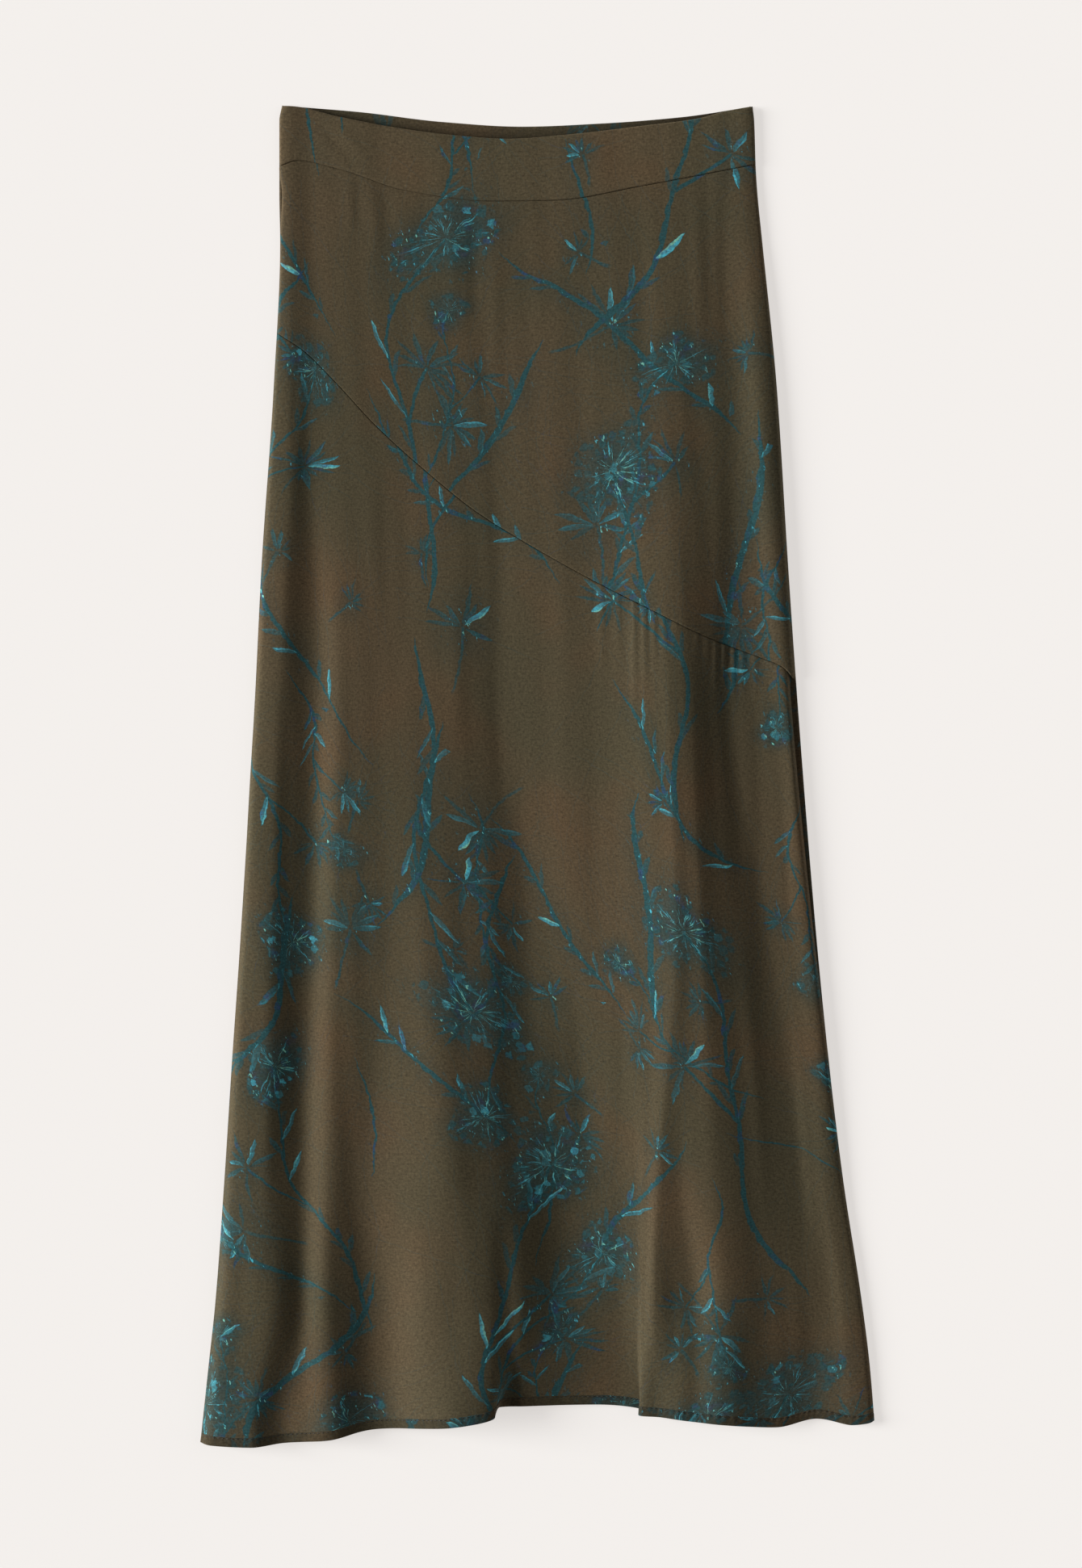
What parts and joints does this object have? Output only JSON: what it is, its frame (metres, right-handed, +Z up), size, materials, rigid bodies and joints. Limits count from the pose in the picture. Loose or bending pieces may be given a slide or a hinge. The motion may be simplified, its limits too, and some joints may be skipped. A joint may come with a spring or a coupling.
{
  "type": "maxi skirt, laid flat",
  "caption": "Long flared skirt laid flat, front up, with a curved waistband, a slanting seam across the front and soft folds down to a turned hem.",
  "frame": {"origin": "On the surface that the skirt lies on, under the middle of its outline", "axes": "+Y from the hem towards the waist, +X to the viewer's right, +Z up out of the front"},
  "size_m": [0.5013, 0.9954, 0.0275],
  "materials": {
    "cloth": "Soft brown crepe with a low sheen and a teal botanical print",
    "band": "The same printed brown crepe, faced and pressed"
  },
  "bodies": {
    "root": {"waistband_front": "band", "waistband_back": "band", "front_upper": "cloth", "front_lower": "cloth", "back_panel": "cloth"}
  },
  "joints": []
}
